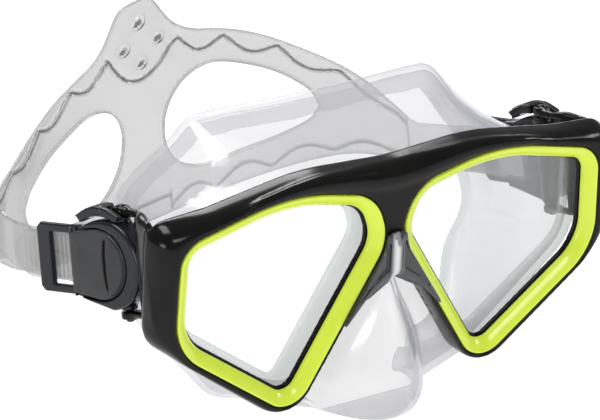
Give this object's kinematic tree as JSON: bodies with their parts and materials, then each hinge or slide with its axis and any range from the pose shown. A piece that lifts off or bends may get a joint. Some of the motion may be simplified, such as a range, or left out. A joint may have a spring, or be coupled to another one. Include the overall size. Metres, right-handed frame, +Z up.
{
  "type": "snorkel mask",
  "caption": "Two-lens snorkel mask with a clear face skirt and nose pocket, swinging side buckles with lever locks, and a split head strap.",
  "frame": {"origin": "centre of the face seal, 50 mm behind the front of the lens trims, level with the nose side of the lenses", "axes": "-Y is the way the lenses face, +Y is towards the wearer, +Z is up, +X is the right-hand side when looking at the lenses"},
  "size_m": [0.1807, 0.1454, 0.0936],
  "materials": {
    "frame_black": "glossy black moulded plastic",
    "trim_green": "smooth satin yellow-green plastic",
    "lens_glass": "clear tempered glass",
    "clip_grey": "glossy grey plastic",
    "clear_silicone": "clear soft silicone",
    "buckle_grey": "glossy dark blue-grey plastic",
    "lever_grey": "matte mid-grey plastic",
    "pin_steel": "plain stainless pin"
  },
  "bodies": {
    "mask": {"main_frame": "frame_black", "lens_trim_left": "trim_green", "lens_trim_right": "trim_green", "lens_left": "lens_glass", "lens_right": "lens_glass", "nose_clip": "clip_grey", "skirt": "clear_silicone", "hinge_pin_left": "pin_steel", "hinge_pin_right": "pin_steel", "strap_band": "clear_silicone"},
    "buckle_left": {"buckle_housing_left": "buckle_grey", "lever_pin_left": "pin_steel", "strap_end_left": "clear_silicone"},
    "lever_left": {"release_lever_left": "lever_grey"},
    "roller_left": {"strap_roller_left": "buckle_grey"},
    "squeeze_left": {"squeeze_arm_left": "buckle_grey"},
    "buckle_right": {"buckle_housing_right": "buckle_grey", "lever_pin_right": "pin_steel", "strap_end_right": "clear_silicone"},
    "lever_right": {"release_lever_right": "lever_grey"},
    "roller_right": {"strap_roller_right": "buckle_grey"},
    "squeeze_right": {"squeeze_arm_right": "buckle_grey"}
  },
  "joints": [
    {"name": "buckle_swing_left", "type": "hinge", "parent": "mask", "child": "buckle_left", "pos_m": [-0.07874, -0.02172, -0.0026], "axis": [0.0288, 0.2641, 0.9641], "range_deg": [-26, 6]},
    {"name": "lever_open_left", "type": "hinge", "parent": "buckle_left", "child": "lever_left", "pos_m": [-0.0889, -0.00823, -0.00599], "axis": [-0.0288, -0.2641, -0.9641], "range_deg": [0, 35]},
    {"name": "roller_spin_left", "type": "hinge", "parent": "buckle_left", "child": "roller_left", "pos_m": [-0.0831, -0.0118, -0.00519], "axis": [0.0288, 0.2641, 0.9641], "continuous": true},
    {"name": "squeeze_left", "type": "hinge", "parent": "buckle_left", "child": "squeeze_left", "pos_m": [-0.07918, -0.02026, 0.01212], "axis": [-0.9484, -0.2976, 0.1098], "range_deg": [0, 2.5], "stiffness_Nm_per_rad": 0.2, "springref_deg": -5.73},
    {"name": "buckle_swing_right", "type": "hinge", "parent": "mask", "child": "buckle_right", "pos_m": [0.07874, -0.02172, -0.0026], "axis": [0.0288, -0.2641, -0.9641], "range_deg": [-2, 30]},
    {"name": "lever_open_right", "type": "hinge", "parent": "buckle_right", "child": "lever_right", "pos_m": [0.08178, -0.00535, -0.007], "axis": [-0.0288, 0.2641, 0.9641], "range_deg": [0, 35]},
    {"name": "roller_spin_right", "type": "hinge", "parent": "buckle_right", "child": "roller_right", "pos_m": [0.07817, -0.01099, -0.00556], "axis": [0.0288, -0.2641, -0.9641], "continuous": true},
    {"name": "squeeze_right", "type": "hinge", "parent": "buckle_right", "child": "squeeze_right", "pos_m": [0.08018, -0.01965, 0.01198], "axis": [-0.9909, -0.1347, 0.0073], "range_deg": [0, 2.5], "stiffness_Nm_per_rad": 0.2, "springref_deg": -5.73}
  ]
}
